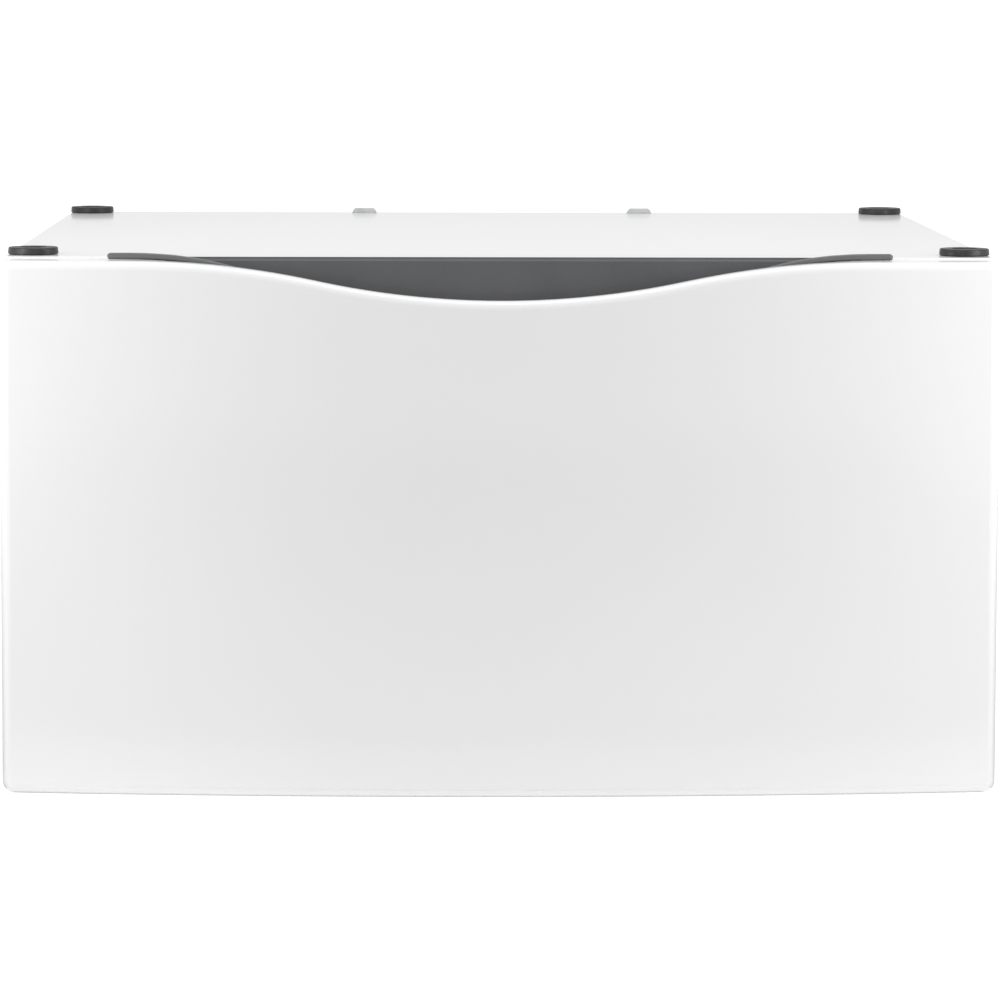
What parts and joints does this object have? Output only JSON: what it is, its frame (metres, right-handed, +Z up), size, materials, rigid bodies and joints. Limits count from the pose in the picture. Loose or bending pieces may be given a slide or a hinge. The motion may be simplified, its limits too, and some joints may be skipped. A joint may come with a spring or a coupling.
{
  "type": "laundry pedestal",
  "caption": "Low steel cabinet that raises a laundry appliance, with one wide bowed storage drawer, a moulded handle along its top edge and rubber rings on a flat deck.",
  "frame": {"origin": "middle of the footprint, on the floor", "axes": "+Z up, -Y is the drawer front, +X to the right seen from the front"},
  "size_m": [0.686, 0.688, 0.393],
  "materials": {
    "white_enamel": "gloss",
    "drawer_paint": "satin",
    "grey_plastic": "satin",
    "black_rubber": "matte",
    "zinc_plate": "satin",
    "ball_steel": "polished",
    "fastener_zinc": "satin",
    "galvanised_steel": "spangled"
  },
  "bodies": {
    "cabinet": {"top_deck": "white_enamel", "side_panel_left": "white_enamel", "side_panel_right": "white_enamel", "rear_panel": "galvanised_steel", "front_bottom_rail": "galvanised_steel", "rear_bottom_rail": "galvanised_steel", "corner_gusset_front_left": "galvanised_steel", "corner_gusset_front_right": "galvanised_steel", "corner_gusset_rear_left": "galvanised_steel", "corner_gusset_rear_right": "galvanised_steel", "leg_bushes": "fastener_zinc", "deck_brace_front": "galvanised_steel", "deck_brace_rear": "galvanised_steel", "slide_bracket_left": "galvanised_steel", "slide_bracket_right": "galvanised_steel", "slide_outer_left": "zinc_plate", "slide_outer_right": "zinc_plate", "rear_screws": "fastener_zinc", "slide_rivets": "fastener_zinc", "deck_ring_front_left": "black_rubber", "deck_ring_front_right": "black_rubber", "deck_ring_rear_left": "black_rubber", "deck_ring_rear_right": "black_rubber"},
    "drawer": {"front_skin": "white_enamel", "front_backplate": "drawer_paint", "handle_insert": "grey_plastic", "drawer_bottom": "drawer_paint", "drawer_side_left": "drawer_paint", "drawer_side_right": "drawer_paint", "drawer_front_wall": "drawer_paint", "drawer_back_wall": "drawer_paint", "slide_inner_left": "zinc_plate", "slide_inner_right": "zinc_plate", "drawer_bumpers": "black_rubber", "drawer_screws": "fastener_zinc"},
    "slide_middle_left": {"slide_middle_left": "zinc_plate"},
    "outer_cage_left": {"outer_cage_left": "zinc_plate", "outer_balls_left": "ball_steel"},
    "inner_cage_left": {"inner_cage_left": "zinc_plate", "inner_balls_left": "ball_steel"},
    "slide_lever_left": {"slide_lever_left": "grey_plastic"},
    "slide_middle_right": {"slide_middle_right": "zinc_plate"},
    "outer_cage_right": {"outer_cage_right": "zinc_plate", "outer_balls_right": "ball_steel"},
    "inner_cage_right": {"inner_cage_right": "zinc_plate", "inner_balls_right": "ball_steel"},
    "slide_lever_right": {"slide_lever_right": "grey_plastic"},
    "drawer_divider": {"drawer_divider": "grey_plastic"},
    "leg_front_left": {"leg_pad_front_left": "black_rubber", "leg_stud_front_left": "fastener_zinc"},
    "leg_nut_front_left": {"leg_nut_front_left": "fastener_zinc"},
    "leg_front_right": {"leg_pad_front_right": "black_rubber", "leg_stud_front_right": "fastener_zinc"},
    "leg_nut_front_right": {"leg_nut_front_right": "fastener_zinc"},
    "leg_rear_left": {"leg_pad_rear_left": "black_rubber", "leg_stud_rear_left": "fastener_zinc"},
    "leg_nut_rear_left": {"leg_nut_rear_left": "fastener_zinc"},
    "leg_rear_right": {"leg_pad_rear_right": "black_rubber", "leg_stud_rear_right": "fastener_zinc"},
    "leg_nut_rear_right": {"leg_nut_rear_right": "fastener_zinc"}
  },
  "joints": [
    {"name": "drawer_slide", "type": "slide", "parent": "cabinet", "child": "drawer", "axis": [0, -1, 0], "range_m": [0, 0.46]},
    {"name": "slide_middle_left_slide", "type": "slide", "parent": "cabinet", "child": "slide_middle_left", "axis": [0, -1, 0], "range_m": [0, 0.23]},
    {"name": "outer_cage_left_slide", "type": "slide", "parent": "cabinet", "child": "outer_cage_left", "axis": [0, -1, 0], "range_m": [0, 0.115]},
    {"name": "inner_cage_left_slide", "type": "slide", "parent": "cabinet", "child": "inner_cage_left", "axis": [0, -1, 0], "range_m": [0, 0.345]},
    {"name": "slide_lever_left_tilt", "type": "hinge", "parent": "drawer", "child": "slide_lever_left", "pos_m": [-0.3112, -0.142, 0.19], "axis": [1, 0, 0], "range_deg": [0, 6], "stiffness_Nm_per_rad": 0.03},
    {"name": "slide_middle_right_slide", "type": "slide", "parent": "cabinet", "child": "slide_middle_right", "axis": [0, -1, 0], "range_m": [0, 0.23]},
    {"name": "outer_cage_right_slide", "type": "slide", "parent": "cabinet", "child": "outer_cage_right", "axis": [0, -1, 0], "range_m": [0, 0.115]},
    {"name": "inner_cage_right_slide", "type": "slide", "parent": "cabinet", "child": "inner_cage_right", "axis": [0, -1, 0], "range_m": [0, 0.345]},
    {"name": "slide_lever_right_tilt", "type": "hinge", "parent": "drawer", "child": "slide_lever_right", "pos_m": [0.3112, -0.142, 0.19], "axis": [1, 0, 0], "range_deg": [-6, 0], "stiffness_Nm_per_rad": 0.03},
    {"name": "divider_slide", "type": "slide", "parent": "drawer", "child": "drawer_divider", "axis": [1, 0, 0], "range_m": [-0.2, 0.2]},
    {"name": "leg_front_left_screw", "type": "slide", "parent": "cabinet", "child": "leg_front_left", "axis": [0, 0, 1], "range_m": [-0.02, 0]},
    {"name": "leg_nut_front_left_turn", "type": "hinge", "parent": "leg_front_left", "child": "leg_nut_front_left", "pos_m": [-0.295, -0.196, 0.0209], "axis": [0, 0, 1], "continuous": true},
    {"name": "leg_front_right_screw", "type": "slide", "parent": "cabinet", "child": "leg_front_right", "axis": [0, 0, 1], "range_m": [-0.02, 0]},
    {"name": "leg_nut_front_right_turn", "type": "hinge", "parent": "leg_front_right", "child": "leg_nut_front_right", "pos_m": [0.295, -0.196, 0.0209], "axis": [0, 0, 1], "continuous": true},
    {"name": "leg_rear_left_screw", "type": "slide", "parent": "cabinet", "child": "leg_rear_left", "axis": [0, 0, 1], "range_m": [-0.02, 0]},
    {"name": "leg_nut_rear_left_turn", "type": "hinge", "parent": "leg_rear_left", "child": "leg_nut_rear_left", "pos_m": [-0.295, 0.284, 0.0209], "axis": [0, 0, 1], "continuous": true},
    {"name": "leg_rear_right_screw", "type": "slide", "parent": "cabinet", "child": "leg_rear_right", "axis": [0, 0, 1], "range_m": [-0.02, 0]},
    {"name": "leg_nut_rear_right_turn", "type": "hinge", "parent": "leg_rear_right", "child": "leg_nut_rear_right", "pos_m": [0.295, 0.284, 0.0209], "axis": [0, 0, 1], "continuous": true}
  ],
  "couplings": [
    {"joint": "slide_middle_left_slide", "follows": "drawer_slide", "ratio": 0.5},
    {"joint": "outer_cage_left_slide", "follows": "drawer_slide", "ratio": 0.25},
    {"joint": "inner_cage_left_slide", "follows": "drawer_slide", "ratio": 0.75},
    {"joint": "slide_middle_right_slide", "follows": "drawer_slide", "ratio": 0.5},
    {"joint": "outer_cage_right_slide", "follows": "drawer_slide", "ratio": 0.25},
    {"joint": "inner_cage_right_slide", "follows": "drawer_slide", "ratio": 0.75}
  ]
}
